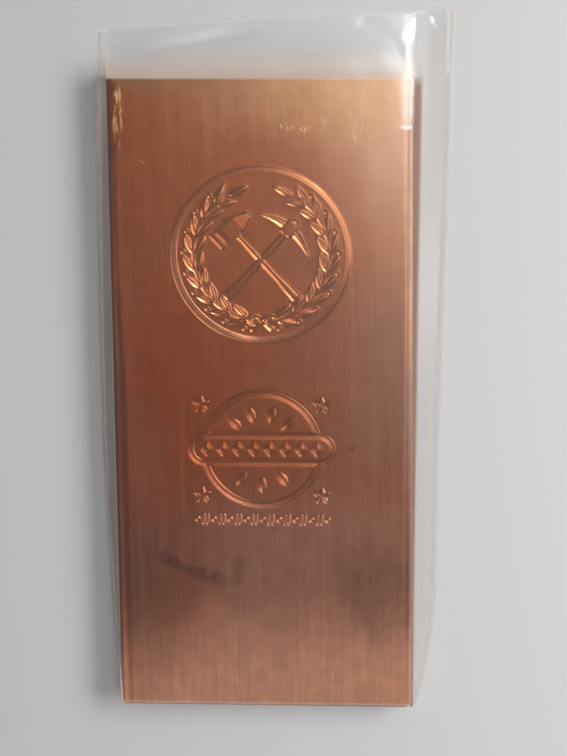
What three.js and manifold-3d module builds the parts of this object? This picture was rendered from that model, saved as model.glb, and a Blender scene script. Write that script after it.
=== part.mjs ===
// Struck copper ingot, one pound, lying face up in its clear film sleeve.
// Millimetres, +Z up, the floor at z = 0. X runs across the bar, Y along it.
import * as THREE from 'three';
import { mergeVertices } from 'three/addons/utils/BufferGeometryUtils.js';
import Module from 'manifold-3d';

const wasm = await Module();
wasm.setup();

// bar stock: 6 in long, 2 3/4 in wide, 3/16 in thick
const barLength = 152.4;
const barWidth = 69.85;
const barThickness = 4.7625;
const longEdgeRadius = 2.0;      // rolled long edges
const endEdgeRadius = 0.45;      // deburred sawn ends
const cornerRadius = 1.0;        // the four corners in plan

// struck medallion
const medalX = 0.05;
const medalY = 34.8;
const medalRadius = 20.75;
const medalDepth = 0.5;
const medalWallWidth = 1.3;
const medalWallCurve = 1.1;      // 1 is a straight slope, more is hollower
const reliefHeight = 0.34;
const reliefSink = 0.2;          // how far a raised motif reaches below the recess floor
const reliefFlare = 0.3;         // how much wider a motif is at its foot

// crossed hammer and pick
const toolAngle = 42;            // degrees each side of upright
const handleLength = 24.4;
const handleWidth = 1.3;
const handleTaper = 0.35;        // how much wider the grip end is
const toolCentreDrop = 1.2;      // the crossing lies this far below the medallion's centre
const headLength = 9.8;
const headHeight = 3.8;
const headFaceLength = 1.4;      // the striking face, before the neck
const headNeckDepth = 0.3;
const headPeenHeight = 0.8;      // the wedge at the other end
const headInset = 2.3;           // from the handle's top end to the head's centre
const pickLength = 15.4;
const pickHeight = 2.0;
const pickCurve = 2.3;
const pickEyeWidth = 2.4;        // the block that the handle passes through
const pickEyeHeight = 3.0;

// laurel branches
const branchRadius = 15.7;
const branchWidth = 0.4;
const branchStart = 10;          // degrees from straight down
const branchEnd = 152;
const leafLength = 4.8;
const leafWidth = 1.5;
const leafSpread = 33;           // degrees between a leaf and the branch
const leafLean = 6;              // degrees that the leaves turn inwards with the branch
const leafPairs = 9;

// ribbon where the branches cross
const bowLoopWidth = 2.7;
const bowLoopHeight = 1.6;
const bowRibbon = 0.5;
const bowSpread = 1.75;          // from the knot to the middle of each loop
const bowTilt = 14;
const bowTailLength = 3.0;
const bowTailWidth = 0.9;
const bowTailAngle = 48;         // degrees each side of straight down
const knotRadius = 0.45;

// struck emblem below the medallion
const emblemX = -0.2;
const emblemY = -11.7;
const ringRadius = 13.6;
const grooveWidth = 0.4;         // at the groove's bottom
const grooveFlare = 0.5;         // each side, from the bottom up to the face
const grooveDepth = 0.21;
const panelDepth = 0.24;         // the panel's own groove, a little deeper than the ring's
const panelHalfLength = 16.7;    // half of the long round-ended panel across the ring
const panelHalfHeight = 3.3;
const starRadius = 2.3;
const starWaist = 0.42;          // inner radius as a share of the points' radius
const starOffsetX = 14.1;
const starRiseTop = 10.85;
const starDropBottom = 11.3;

// small struck marks
const markDepth = 0.3;
const markFlare = 0.22;
const lozengeCount = 8;
const lozengePitch = 3.7;
const lozengeHalfHeight = 1.55;
const lozengeHalfWidth = 1.15;
const lozengeCore = 0.45;        // raised core left standing in each lozenge
const markLeafLength = 4.2;
const markLeafWidth = 1.5;
const arcRadius = 8.9;           // middle of the four leaves over the panel
const arcLeafAngles = [-45, -16, 16, 45];
const dropRadius = 8.5;          // and of the three under it
const dropAngles = [-34, 0, 34];
const beadRowDrop = 17.25;       // from the emblem's centre
const beadCount = 9;
const beadPitch = 3.85;
const beadRadius = 0.55;
const reelHalfHeight = 1.35;
const reelWidth = 0.3;
const reelFlare = 0.12;
const reelSpread = 0.46;         // from the middle of a gap to each of its two reels

// clear film sleeve
const filmThickness = 0.15;
const filmGap = 0.3;             // between the film and the bar
const leftFinAtMouth = 2.6;      // flat slack beside the bar, in plan
const leftFinAtFoot = 3.4;
const rightFinAtMouth = 8.9;
const rightFinAtFoot = 5.4;
const finShareAtSeal = 0.15;     // share of the slack left at the sealed end
const finFootY = -46;            // where the slack starts to run out
const mouthReach = 11.8;         // the film past the bar's end, on the middle line
const mouthSlope = 3.35;         // degrees
const mouthSinkStart = 2.3;      // past the bar's end, where the film starts to sink
const mouthSink = 1.8;           // how far it has sunk at the mouth
const sealLength = 1.4;

const barBottom = filmThickness + filmGap;
const faceZ = barBottom + barThickness;
const meshTolerance = 0.004;       // slivers thinner than this are merged away
const radians = THREE.MathUtils.degToRad;

// turns a closed three.js geometry into a solid
function solid(geometry, matrix) {
  const g = geometry.index ? geometry.clone() : geometry;
  g.deleteAttribute('normal');
  g.deleteAttribute('uv');
  const merged = mergeVertices(g, 1e-4);
  if (matrix) merged.applyMatrix4(matrix);
  const made = new wasm.Manifold(new wasm.Mesh({
    numProp: 3,
    vertProperties: new Float32Array(merged.attributes.position.array),
    triVerts: new Uint32Array(merged.index.array),
  }));
  return made;
}

// back to a flat-shaded mesh
function toMesh(made, name, material) {
  const data = made.getMesh();
  const geometry = new THREE.BufferGeometry();
  geometry.setAttribute('position', new THREE.Float32BufferAttribute(data.vertProperties, 3));
  geometry.setIndex(new THREE.Uint32BufferAttribute(data.triVerts, 1));
  geometry.computeVertexNormals();
  const mesh = new THREE.Mesh(geometry, material);
  mesh.name = name;
  return mesh;
}

const place = (x, y, z, turn = 0) => new THREE.Matrix4()
  .makeRotationZ(radians(turn)).setPosition(x, y, z);

// a point on a circle, its angle counted clockwise from the top
const clock = (radius, angle) => new THREE.Vector2(
  radius * Math.sin(radians(angle)), radius * Math.cos(radians(angle)));

function roundedRectangle(width, height, radius) {
  const shape = new THREE.Shape();
  const w = width / 2;
  const h = height / 2;
  shape.moveTo(-w + radius, -h);
  shape.lineTo(w - radius, -h);
  shape.absarc(w - radius, -h + radius, radius, -Math.PI / 2, 0);
  shape.lineTo(w, h - radius);
  shape.absarc(w - radius, h - radius, radius, 0, Math.PI / 2);
  shape.lineTo(-w + radius, h);
  shape.absarc(-w + radius, h - radius, radius, Math.PI / 2, Math.PI);
  shape.lineTo(-w, -h + radius);
  shape.absarc(-w + radius, -h + radius, radius, Math.PI, Math.PI * 1.5);
  return shape;
}

// pointed leaf from the origin along +Y
function leafShape(length, width) {
  const shape = new THREE.Shape();
  shape.moveTo(0, 0);
  shape.quadraticCurveTo(width, length * 0.42, 0, length);
  shape.quadraticCurveTo(-width, length * 0.42, 0, 0);
  return shape;
}

function starShape(radius, waist) {
  const shape = new THREE.Shape();
  for (let i = 0; i < 10; i += 1) {
    const p = clock(i % 2 ? radius * waist : radius, i * 36);
    if (i === 0) shape.moveTo(p.x, p.y);
    else shape.lineTo(p.x, p.y);
  }
  shape.closePath();
  return shape;
}

function lozengeShape(halfWidth, halfHeight) {
  const shape = new THREE.Shape();
  shape.moveTo(0, -halfHeight);
  shape.lineTo(halfWidth, 0);
  shape.lineTo(0, halfHeight);
  shape.lineTo(-halfWidth, 0);
  shape.closePath();
  return shape;
}

function discShape(radius) {
  const shape = new THREE.Shape();
  shape.absarc(0, 0, radius, 0, Math.PI * 2);
  return shape;
}

// The rolled section runs along Y; the plan outline trims it and eases the sawn ends.
const sectionShape = roundedRectangle(barWidth, barThickness, longEdgeRadius);
const rolled = solid(new THREE.ExtrudeGeometry(sectionShape, {
  depth: barLength + 2, bevelEnabled: false, curveSegments: 5,
}), new THREE.Matrix4().makeRotationX(Math.PI / 2)
  .setPosition(0, barLength / 2 + 1, barBottom + barThickness / 2));
const planShape = roundedRectangle(
  barWidth - 2 * endEdgeRadius, barLength - 2 * endEdgeRadius, cornerRadius);
const trimmed = solid(new THREE.ExtrudeGeometry(planShape, {
  depth: barThickness - 2 * endEdgeRadius,
  bevelThickness: endEdgeRadius, bevelSize: endEdgeRadius, bevelSegments: 3, curveSegments: 4,
}), place(0, 0, barBottom + endEdgeRadius));
const blank = rolled.intersect(trimmed);

// A punch is narrow at its foot and full width at the face; the part above the face is spare.
function punch(shape, x, y, turn, depth, flare, detail = 6) {
  return solid(new THREE.ExtrudeGeometry(shape, {
    depth: depth + 0.2, bevelThickness: depth, bevelSize: flare, bevelSegments: 2,
    curveSegments: detail,
  }), place(x, y, faceZ, turn));
}

// medallion recess: a turned cutter with a sloping wall
const wallSteps = 5;
const recessProfile = [new THREE.Vector2(0, -medalDepth)];
for (let i = 0; i <= wallSteps; i += 1) {
  const out = i / wallSteps;
  recessProfile.push(new THREE.Vector2(
    medalRadius - medalWallWidth * (1 - out), -medalDepth * (1 - out ** medalWallCurve)));
}
recessProfile.push(new THREE.Vector2(medalRadius, 1), new THREE.Vector2(0, 1));
const recess = solid(new THREE.LatheGeometry(recessProfile, 96),
  new THREE.Matrix4().makeRotationX(Math.PI / 2).setPosition(medalX, medalY, faceZ));

// raised motifs in the recess
const floorZ = faceZ - medalDepth;
const reliefs = [];
function raise(shape, x, y, turn, height = reliefHeight, flare = reliefFlare, detail = 4) {
  reliefs.push(solid(new THREE.ExtrudeGeometry(shape, {
    depth: reliefSink, bevelThickness: height, bevelSize: flare, bevelSegments: 2,
    curveSegments: detail,
  }), new THREE.Matrix4().makeTranslation(medalX + x, medalY + y, floorZ - reliefSink)
    .multiply(new THREE.Matrix4().makeRotationZ(radians(turn)))));
}

function handleShape() {
  const shape = new THREE.Shape();
  const h = handleLength / 2;
  const w = handleWidth / 2;
  shape.moveTo(-w - handleTaper, -h);
  shape.quadraticCurveTo(0, -h - 0.9, w + handleTaper, -h);
  shape.lineTo(w, h);
  shape.lineTo(-w, h);
  shape.closePath();
  return shape;
}

// block with a broad face at -X, a neck behind it and a wedge at +X
function hammerShape() {
  const shape = new THREE.Shape();
  const l = headLength / 2;
  const h = headHeight / 2;
  const outline = [
    [-l, h], [-l + headFaceLength, h], [-l + headFaceLength + 0.5, h - headNeckDepth],
    [-l + headFaceLength + 1.1, h - headNeckDepth], [-l + headFaceLength + 1.7, h],
    [l * 0.36, h], [l, headPeenHeight / 2],
  ];
  shape.moveTo(-l, -h);
  outline.forEach(([x, y]) => shape.lineTo(x, y));
  outline.reverse().forEach(([x, y]) => shape.lineTo(x, -y));
  return shape;
}

function pickShape() {
  const shape = new THREE.Shape();
  const l = pickLength / 2;
  const h = pickHeight / 2;
  shape.moveTo(-l, -pickCurve);
  shape.quadraticCurveTo(-l * 0.45, -h * 0.9, 0, -h);
  shape.quadraticCurveTo(l * 0.45, -h * 0.9, l, -pickCurve);
  shape.quadraticCurveTo(l * 0.5, h * 0.8, 0, h);
  shape.quadraticCurveTo(-l * 0.5, h * 0.8, -l, -pickCurve);
  return shape;
}

for (const side of [-1, 1]) {
  const turn = -side * toolAngle;
  const top = clock(handleLength / 2 - headInset, side * toolAngle);
  raise(handleShape(), 0, -toolCentreDrop, turn);
  raise(side < 0 ? hammerShape() : pickShape(), top.x, top.y - toolCentreDrop, turn,
    reliefHeight * 1.15);
  if (side > 0) {
    raise(roundedRectangle(pickEyeWidth, pickEyeHeight, 0.2), top.x, top.y - toolCentreDrop, turn,
      reliefHeight * 1.4);
  }
}

// each branch is a thin curved stem with paired leaves and one leaf at its tip
for (const side of [-1, 1]) {
  const heading = (angle) => (side > 0 ? angle + leafLean : 180 - leafLean - angle);
  const stem = new THREE.Shape();
  const from = Math.PI * 1.5 + side * radians(2);
  const to = Math.PI * 1.5 + side * radians(branchEnd);
  stem.absarc(0, 0, branchRadius + branchWidth / 2, from, to, side < 0);
  stem.absarc(0, 0, branchRadius - branchWidth / 2, to, from, side > 0);
  raise(stem, 0, 0, 0, reliefHeight * 0.5, 0.16, 14);
  for (let i = 0; i < leafPairs; i += 1) {
    const angle = branchStart + (branchEnd - branchStart) * (i + 0.1) / leafPairs;
    const root = clock(branchRadius, 180 - side * angle);
    for (const out of [-1, 1]) {
      raise(leafShape(leafLength, leafWidth), root.x, root.y,
        heading(angle) - 90 - out * leafSpread, reliefHeight * 0.85, 0.24, 3);
    }
  }
  const tip = clock(branchRadius, 180 - side * branchEnd);
  raise(leafShape(leafLength, leafWidth), tip.x, tip.y, heading(branchEnd) - 90,
    reliefHeight * 0.85, 0.24, 3);
}

// ribbon: two loops, two tails and a knot
const bowY = -branchRadius;
for (const side of [-1, 1]) {
  const loop = new THREE.Shape();
  loop.absellipse(0, 0, bowLoopWidth / 2, bowLoopHeight / 2, 0, Math.PI * 2);
  const hole = new THREE.Path();
  hole.absellipse(0, 0, bowLoopWidth / 2 - bowRibbon, bowLoopHeight / 2 - bowRibbon, 0, Math.PI * 2);
  loop.holes.push(hole);
  raise(loop, side * bowSpread, bowY + 0.2, side * bowTilt, reliefHeight * 1.1, 0.12, 8);
  const tail = new THREE.Shape();
  tail.moveTo(-bowTailWidth * 0.2, 0);
  tail.lineTo(bowTailWidth * 0.2, 0);
  tail.lineTo(bowTailWidth / 2, bowTailLength);
  tail.lineTo(-bowTailWidth / 2, bowTailLength);
  raise(tail, 0, bowY, 180 + side * bowTailAngle, reliefHeight * 0.95, 0.15);
}
raise(discShape(knotRadius), 0, bowY, 0, reliefHeight * 1.3, 0.3, 5);

// the emblem
const punches = [recess];
const ringShape = discShape(ringRadius + grooveWidth / 2);
ringShape.holes.push(discShape(ringRadius - grooveWidth / 2));
const ringPunch = punch(ringShape, emblemX, emblemY, 0, grooveDepth, grooveFlare, 36);
const panelFill = solid(new THREE.ExtrudeGeometry(
  roundedRectangle(2 * panelHalfLength, 2 * panelHalfHeight, panelHalfHeight - 0.01),
  { depth: 3, bevelEnabled: false, curveSegments: 10 }), place(emblemX, emblemY, faceZ - 1.5));
punches.push(ringPunch.subtract(panelFill));
const panelShape = roundedRectangle(2 * panelHalfLength + grooveWidth,
  2 * panelHalfHeight + grooveWidth, panelHalfHeight + grooveWidth / 2 - 0.01);
panelShape.holes.push(roundedRectangle(2 * panelHalfLength - grooveWidth,
  2 * panelHalfHeight - grooveWidth, panelHalfHeight - grooveWidth / 2 - 0.01));
punches.push(punch(panelShape, emblemX, emblemY, 0, panelDepth, grooveFlare, 10));

for (const side of [-1, 1]) {
  for (const y of [starRiseTop, -starDropBottom]) {
    punches.push(punch(starShape(starRadius, starWaist), emblemX + side * starOffsetX,
      emblemY + y, 0, markDepth, markFlare));
  }
}

for (let i = 0; i < lozengeCount; i += 1) {
  const x = emblemX + (i - (lozengeCount - 1) / 2) * lozengePitch;
  const shape = lozengeShape(lozengeHalfWidth, lozengeHalfHeight);
  shape.holes.push(lozengeShape(lozengeCore, lozengeCore * lozengeHalfHeight / lozengeHalfWidth));
  punches.push(punch(shape, x, emblemY, 0, markDepth, markFlare));
}

for (const angle of arcLeafAngles) {
  const p = clock(arcRadius - markLeafLength / 2, angle);
  punches.push(punch(leafShape(markLeafLength, markLeafWidth),
    emblemX + p.x, emblemY + p.y, -angle, markDepth, markFlare, 4));
}
for (const angle of dropAngles) {
  const p = clock(dropRadius + markLeafLength / 2, 180 - angle);
  punches.push(punch(leafShape(markLeafLength, markLeafWidth),
    emblemX + p.x, emblemY + p.y, angle, markDepth, markFlare, 4));
}

for (let i = 0; i < beadCount; i += 1) {
  const x = emblemX + (i - (beadCount - 1) / 2) * beadPitch;
  const y = emblemY - beadRowDrop;
  punches.push(punch(discShape(beadRadius), x, y, 0, markDepth, markFlare, 6));
  if (i === beadCount - 1) break;
  for (const side of [-1, 1]) {
    punches.push(punch(roundedRectangle(reelWidth, 2 * reelHalfHeight, reelWidth / 2 - 0.01),
      x + beadPitch / 2 + side * reelSpread, y, 0, markDepth, reelFlare, 3));
  }
}

const struck = blank.subtract(wasm.Manifold.union(punches));
const ingotSolid = struck.add(wasm.Manifold.union(reliefs).intersect(blank)).simplify(meshTolerance);

// One tube of film, flat on the floor, drawn up over the bar. Past the bar on each side the
// slack lies as a fin; the fins run out towards the sealed end, and the other end is open.
const barHalf = barWidth / 2;
const sealY = -barLength / 2 - filmGap;
const mouthY = barLength / 2 + mouthReach;
const sleeveTop = faceZ + filmGap;

// how wide a fin is at this place along the bar, as a share of its width at the mouth
function finShare(y, atMouth, atFoot) {
  const upwards = THREE.MathUtils.clamp((y - finFootY) / (mouthY - finFootY), 0, 1) ** 1.6;
  const runOut = THREE.MathUtils.clamp((finFootY - y) / (finFootY - sealY), 0, 1);
  return (1 - (1 - finShareAtSeal) * runOut ** 1.5) * (1 + (atFoot / atMouth - 1) * (1 - upwards));
}

// the film's section, shrunk by inset all round, as a tapered prism along Y
function sleevePrism(inset) {
  const shoulder = barHalf + filmGap + filmThickness - inset;
  const top = sleeveTop + filmThickness - inset;
  const slantLeft = Math.atan2(sleeveTop, leftFinAtMouth) / 2;
  const slantRight = Math.atan2(sleeveTop, rightFinAtMouth) / 2;
  const left = barHalf + leftFinAtMouth + filmThickness - inset / Math.tan(slantLeft);
  const right = barHalf + rightFinAtMouth + filmThickness - inset / Math.tan(slantRight);
  const shape = new THREE.Shape();
  shape.moveTo(-left, inset);
  shape.lineTo(right, inset);
  shape.lineTo(shoulder, top);
  shape.lineTo(-shoulder, top);
  shape.closePath();
  const geometry = new THREE.ExtrudeGeometry(shape, {
    depth: mouthY + 8 - sealY + filmThickness, bevelEnabled: false, steps: 48,
  });
  geometry.applyMatrix4(new THREE.Matrix4().makeRotationX(Math.PI / 2)
    .setPosition(0, mouthY + 8, 0));
  const position = geometry.attributes.position;
  for (let i = 0; i < position.count; i += 1) {
    const x = position.getX(i);
    const y = position.getY(i);
    const past = Math.abs(x) - shoulder;
    if (past > 1e-6) {
      const share = x < 0 ? finShare(y, leftFinAtMouth, leftFinAtFoot)
        : finShare(y, rightFinAtMouth, rightFinAtFoot);
      position.setX(i, Math.sign(x) * (shoulder + past * share));
    }
    if (position.getZ(i) > top / 2) {
      const start = barLength / 2 + mouthSinkStart;
      const sunk = Math.max(y - start, 0) / (mouthY - start);
      position.setZ(i, position.getZ(i) - mouthSink * sunk);
    }
  }
  return solid(geometry);
}

const sealLip = solid(new THREE.BoxGeometry(
  2 * (barHalf + filmGap), sealLength + filmThickness, 2 * filmThickness),
place(0, sealY - (sealLength + filmThickness) / 2, filmThickness));
const mouthCut = solid(new THREE.BoxGeometry(200, 40, 40),
  new THREE.Matrix4().makeTranslation(0, mouthY, 0)
    .multiply(new THREE.Matrix4().makeRotationZ(radians(mouthSlope)))
    .multiply(new THREE.Matrix4().makeTranslation(0, 20, 0)));
const sealedEnd = solid(new THREE.BoxGeometry(200, 2, 40), place(0, sealY - 1, 0));
const sleeveSolid = sleevePrism(0)
  .subtract(sleevePrism(filmThickness).subtract(sealedEnd))
  .add(sealLip)
  .subtract(mouthCut);

const copper = new THREE.MeshStandardMaterial({ color: 0xb5704e, roughness: 0.34, metalness: 1 });
const film = new THREE.MeshStandardMaterial({
  color: 0xe9eef0, roughness: 0.12, metalness: 0, transparent: true, opacity: 0.22,
});

const object = new THREE.Group();
object.add(toMesh(ingotSolid, 'ingot', copper));
object.add(toMesh(sleeveSolid, 'sleeve', film));

export default object;
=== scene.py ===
import math
import bmesh
import bpy
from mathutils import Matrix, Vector


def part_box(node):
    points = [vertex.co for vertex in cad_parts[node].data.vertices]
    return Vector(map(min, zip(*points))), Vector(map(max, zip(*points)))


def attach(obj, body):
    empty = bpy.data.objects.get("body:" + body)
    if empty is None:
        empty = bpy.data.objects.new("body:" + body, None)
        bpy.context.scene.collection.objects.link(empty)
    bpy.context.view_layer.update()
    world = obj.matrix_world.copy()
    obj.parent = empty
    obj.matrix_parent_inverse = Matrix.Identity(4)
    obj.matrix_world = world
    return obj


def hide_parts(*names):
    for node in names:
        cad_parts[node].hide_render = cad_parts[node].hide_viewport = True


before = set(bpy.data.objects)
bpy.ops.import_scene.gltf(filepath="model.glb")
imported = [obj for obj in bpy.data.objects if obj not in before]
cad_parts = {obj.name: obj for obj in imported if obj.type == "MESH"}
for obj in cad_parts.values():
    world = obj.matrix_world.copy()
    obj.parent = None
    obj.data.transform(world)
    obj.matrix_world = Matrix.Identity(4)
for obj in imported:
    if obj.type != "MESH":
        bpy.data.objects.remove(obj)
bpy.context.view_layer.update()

mm = 0.001
hair = 0.001 * mm              # points closer than this are one point
barLow, barHigh = (Vector(corner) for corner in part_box("ingot"))
faceZ = barHigh.z


def clearSelection():
    if bpy.context.object is not None and bpy.context.object.mode == "EDIT":
        bpy.ops.object.mode_set(mode="OBJECT")
    bpy.ops.object.select_all(action="DESELECT")


def takeUp(piece):
    clearSelection()
    piece.select_set(True)
    bpy.context.view_layer.objects.active = piece


def startEdit(piece):
    takeUp(piece)
    bpy.ops.object.mode_set(mode="EDIT")


def finishEdit():
    bpy.ops.object.mode_set(mode="OBJECT")


def selectWhole():
    bpy.ops.mesh.select_all(action="SELECT")


def pick(piece, kind, test):
    # selects the parts of the mesh in edit mode that pass the test, and nothing else
    bpy.ops.mesh.select_mode(type=kind)
    bpy.ops.mesh.select_all(action="DESELECT")
    mesh = bmesh.from_edit_mesh(piece.data)
    parts = {"VERT": mesh.verts, "EDGE": mesh.edges, "FACE": mesh.faces}[kind]
    for part in parts:
        if test(part):
            part.select_set(True)
    bmesh.update_edit_mesh(piece.data)


def settle(piece, name):
    # the place, turn and size go into the mesh
    takeUp(piece)
    bpy.ops.object.transform_apply(location=True, rotation=True, scale=True)
    piece.name = name
    piece.data.name = name
    return piece


def applyModifiers(piece):
    takeUp(piece)
    for name in [modifier.name for modifier in piece.modifiers]:
        bpy.ops.object.modifier_apply(modifier=name)


def join(pieces, name):
    clearSelection()
    for piece in pieces:
        piece.select_set(True)
    bpy.context.view_layer.objects.active = pieces[0]
    if len(pieces) > 1:
        bpy.ops.object.join()
    pieces[0].name = name
    return pieces[0]


def discard(piece):
    takeUp(piece)
    bpy.ops.object.delete()


def copyTo(piece, name, place, turn=0.0):
    # a copy with its own mesh, turned about its own origin and then moved
    takeUp(piece)
    bpy.ops.object.duplicate()
    twin = bpy.context.object
    twin.rotation_euler = (0, 0, turn)
    twin.location = place
    return settle(twin, name)


def loft(name, sides, twist, stations):
    # a bar along X: each station is its place along and across, half width and half height
    clearSelection()
    along, across, wide, high = stations[0]
    bpy.ops.mesh.primitive_circle_add(vertices=sides, radius=1, fill_type="NGON",
                                      rotation=(0, math.pi / 2, 0))
    piece = settle(bpy.context.object, name)
    startEdit(piece)
    selectWhole()
    bpy.ops.transform.rotate(value=twist, orient_axis="X", center_override=(0, 0, 0))
    bpy.ops.transform.resize(value=(1, wide, high), center_override=(0, 0, 0))
    bpy.ops.transform.translate(value=(along, across, 0))
    for nextAlong, nextAcross, nextWide, nextHigh in stations[1:]:
        bpy.ops.mesh.extrude_region_move(TRANSFORM_OT_translate={
            "value": (nextAlong - along, nextAcross - across, 0)})
        bpy.ops.transform.resize(value=(1, nextWide / wide, nextHigh / high),
                                 center_override=(nextAlong, nextAcross, 0))
        along, across, wide, high = nextAlong, nextAcross, nextWide, nextHigh
    finishEdit()
    return piece


def turnedRings(name, centre, segments, profile):
    # rings drawn inwards from the first radius, then closed across the middle
    clearSelection()
    radius, height = profile[0]
    bpy.ops.mesh.primitive_circle_add(vertices=segments, radius=radius,
                                      location=(centre[0], centre[1], height))
    piece = settle(bpy.context.object, name)
    startEdit(piece)
    selectWhole()
    for nextRadius, nextHeight in profile[1:]:
        bpy.ops.mesh.extrude_edges_move(TRANSFORM_OT_translate={
            "value": (0, 0, nextHeight - height)})
        share = nextRadius / radius
        bpy.ops.transform.resize(value=(share, share, 1),
                                 center_override=(centre[0], centre[1], nextHeight))
        radius, height = nextRadius, nextHeight
    bpy.ops.mesh.edge_face_add()
    finishEdit()
    return piece


def pressOnto(sheet, die, upward):
    # the sheet travels until it meets the die, as metal does under the press
    takeUp(sheet)
    wrap = sheet.modifiers.new("press", "SHRINKWRAP")
    wrap.target = die
    wrap.wrap_method = "PROJECT"
    wrap.use_project_z = True
    wrap.use_positive_direction = upward
    wrap.use_negative_direction = not upward
    bpy.ops.object.modifier_apply(modifier=wrap.name)


def clock(radius, degrees):
    # a point on a circle, its angle counted clockwise from the top
    return radius * math.sin(math.radians(degrees)), radius * math.cos(math.radians(degrees))


def addNode(tree, kind, values=None, **settings):
    node = tree.nodes.new(kind)
    for name, value in settings.items():
        setattr(node, name, value)
    for name, value in (values or {}).items():
        socket = node.inputs[name]
        if isinstance(value, bpy.types.NodeSocket):
            tree.links.new(value, socket)
        else:
            socket.default_value = value
    return node


def mixTone(tree, mask, first, second):
    node = addNode(tree, "ShaderNodeMix", data_type="RGBA")
    for index, value in ((0, mask), (6, first), (7, second)):
        if isinstance(value, bpy.types.NodeSocket):
            tree.links.new(value, node.inputs[index])
        else:
            node.inputs[index].default_value = value
    return node.outputs[2]


def calc(tree, operation, first, second=0.0, clamp=False):
    node = addNode(tree, "ShaderNodeMath", {0: first, 1: second}, operation=operation)
    node.use_clamp = clamp
    return node.outputs[0]


def times(tree, *factors):
    product = factors[0]
    for factor in factors[1:]:
        product = calc(tree, "MULTIPLY", product, factor)
    return product


def largest(tree, *values):
    result = values[0]
    for value in values[1:]:
        result = calc(tree, "MAXIMUM", result, value)
    return result


def rescale(tree, value, span, smooth=True):
    # the span is where it starts and ends, and the results there where they aren't 0 and 1
    fromLow, fromHigh, toLow, toHigh = (*span, 0.0, 1.0)[:4]
    node = addNode(tree, "ShaderNodeMapRange", {
        "Value": value, "From Min": fromLow, "From Max": fromHigh, "To Min": toLow,
        "To Max": toHigh}, interpolation_type="SMOOTHSTEP" if smooth else "LINEAR")
    return node.outputs["Result"]


def overlap(tree, fades, measures):
    # 1 where all the fades are 1: each is the name of a measure and a span along it
    return times(tree, *(rescale(tree, measures[name], span) for name, *span in fades))


# camera, floor and lights
view = {
    "place": (0.0386, 0.1550, 0.5715),
    "turn": (-14.78, 3.27, -0.489),
    "lens": 120.0,
    "sensorWidth": 36,
    "clipStart": 0.01,
}


def makeCamera():
    cameraData = bpy.data.cameras.new("camera")
    camera = bpy.data.objects.new("camera", cameraData)
    bpy.context.collection.objects.link(camera)
    camera.location = view["place"]
    camera.rotation_euler = [math.radians(angle) for angle in view["turn"]]
    cameraData.sensor_width = view["sensorWidth"]
    cameraData.lens = view["lens"]
    cameraData.clip_start = view["clipStart"]
    bpy.context.scene.camera = camera


studio = {
    "floorSize": 3.0,
    "floorColour": (0.80, 0.80, 0.81, 1),
    "floorRoughness": 0.85,
    "roomColour": (0.225, 0.226, 0.230, 1),
    "overheadColour": (0.235, 0.236, 0.240, 1),   # what shiny faces mirror, overhead
    "horizonColour": (0.470, 0.470, 0.475, 1),    # and near the floor
    "horizonSpan": (0.0, 0.75),
}
# side and fill light the scene, the others are cards that only shiny faces mirror
lamps = {
    "side": {"place": (0.50, 0.10, 0.27), "size": (0.55, 0.18), "energy": 3.1, "card": False},
    "fill": {"place": (0.30, -0.60, 0.60), "size": (0.60, 0.40), "energy": 1.3, "card": False,
             "colour": (1.0, 0.94, 0.88)},
    "top": {"place": (0.150, 0.01, 1.09), "size": (0.32, 0.29), "energy": 1.24, "card": True},
    "ceiling": {"place": (0.16, -0.21, 1.10), "size": (0.30, 0.48), "energy": 0.18, "card": True},
    "front": {"place": (-0.60, -0.47, 0.55), "size": (0.80, 0.50), "energy": 2.00, "card": True},
    "spark": {"place": (-0.45, -0.65, 0.56), "size": (0.10, 0.10), "energy": 0.80, "card": True},
    "strip": {"place": (0.207, 0.117, 0.635), "size": (0.76, 0.06), "energy": 0.38, "card": True},
    "rim": {"place": (0.62, 0.05, 0.19), "size": (0.40, 0.22), "energy": 0.42, "card": True},
}


def makeFloor():
    clearSelection()
    bpy.ops.mesh.primitive_plane_add(size=studio["floorSize"], location=(0, 0, 0))
    floor = bpy.context.object
    floor.name = "floor"
    material = bpy.data.materials.new("paleFloor")
    material.use_nodes = True
    surface = material.node_tree.nodes["Principled BSDF"]
    surface.inputs["Base Color"].default_value = studio["floorColour"]
    surface.inputs["Roughness"].default_value = studio["floorRoughness"]
    floor.data.materials.append(material)


def makeWorld():
    # shiny faces see a paler backdrop, brightest near the floor
    world = bpy.data.worlds.new("studio")
    world.use_nodes = True
    tree = world.node_tree
    direction = addNode(tree, "ShaderNodeTexCoord").outputs["Generated"]
    height = addNode(tree, "ShaderNodeSeparateXYZ", {0: direction}).outputs[2]
    backdrop = mixTone(tree, rescale(tree, height, studio["horizonSpan"]),
                       studio["horizonColour"], studio["overheadColour"])
    ray = addNode(tree, "ShaderNodeLightPath").outputs
    seen = calc(tree, "MAXIMUM", ray["Is Camera Ray"], ray["Is Glossy Ray"])
    colour = mixTone(tree, seen, studio["roomColour"], backdrop)
    tree.links.new(colour, tree.nodes["Background"].inputs["Color"])
    bpy.context.scene.world = world


def makeLamps():
    for name, lamp in lamps.items():
        data = bpy.data.lights.new(name, "AREA")
        data.energy = lamp["energy"]
        data.color = lamp.get("colour", (1, 1, 1))
        data.shape = "RECTANGLE"
        data.size, data.size_y = lamp["size"]
        light = bpy.data.objects.new(name, data)
        bpy.context.collection.objects.link(light)
        light.location = lamp["place"]
        light.rotation_euler = (-Vector(lamp["place"])).to_track_quat("-Z", "Y").to_euler()
        light.visible_diffuse = not lamp["card"]
        light.visible_glossy = lamp["card"]


makeCamera()
makeFloor()
makeWorld()
makeLamps()
print("stage: camera, floor and lights")


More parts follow.
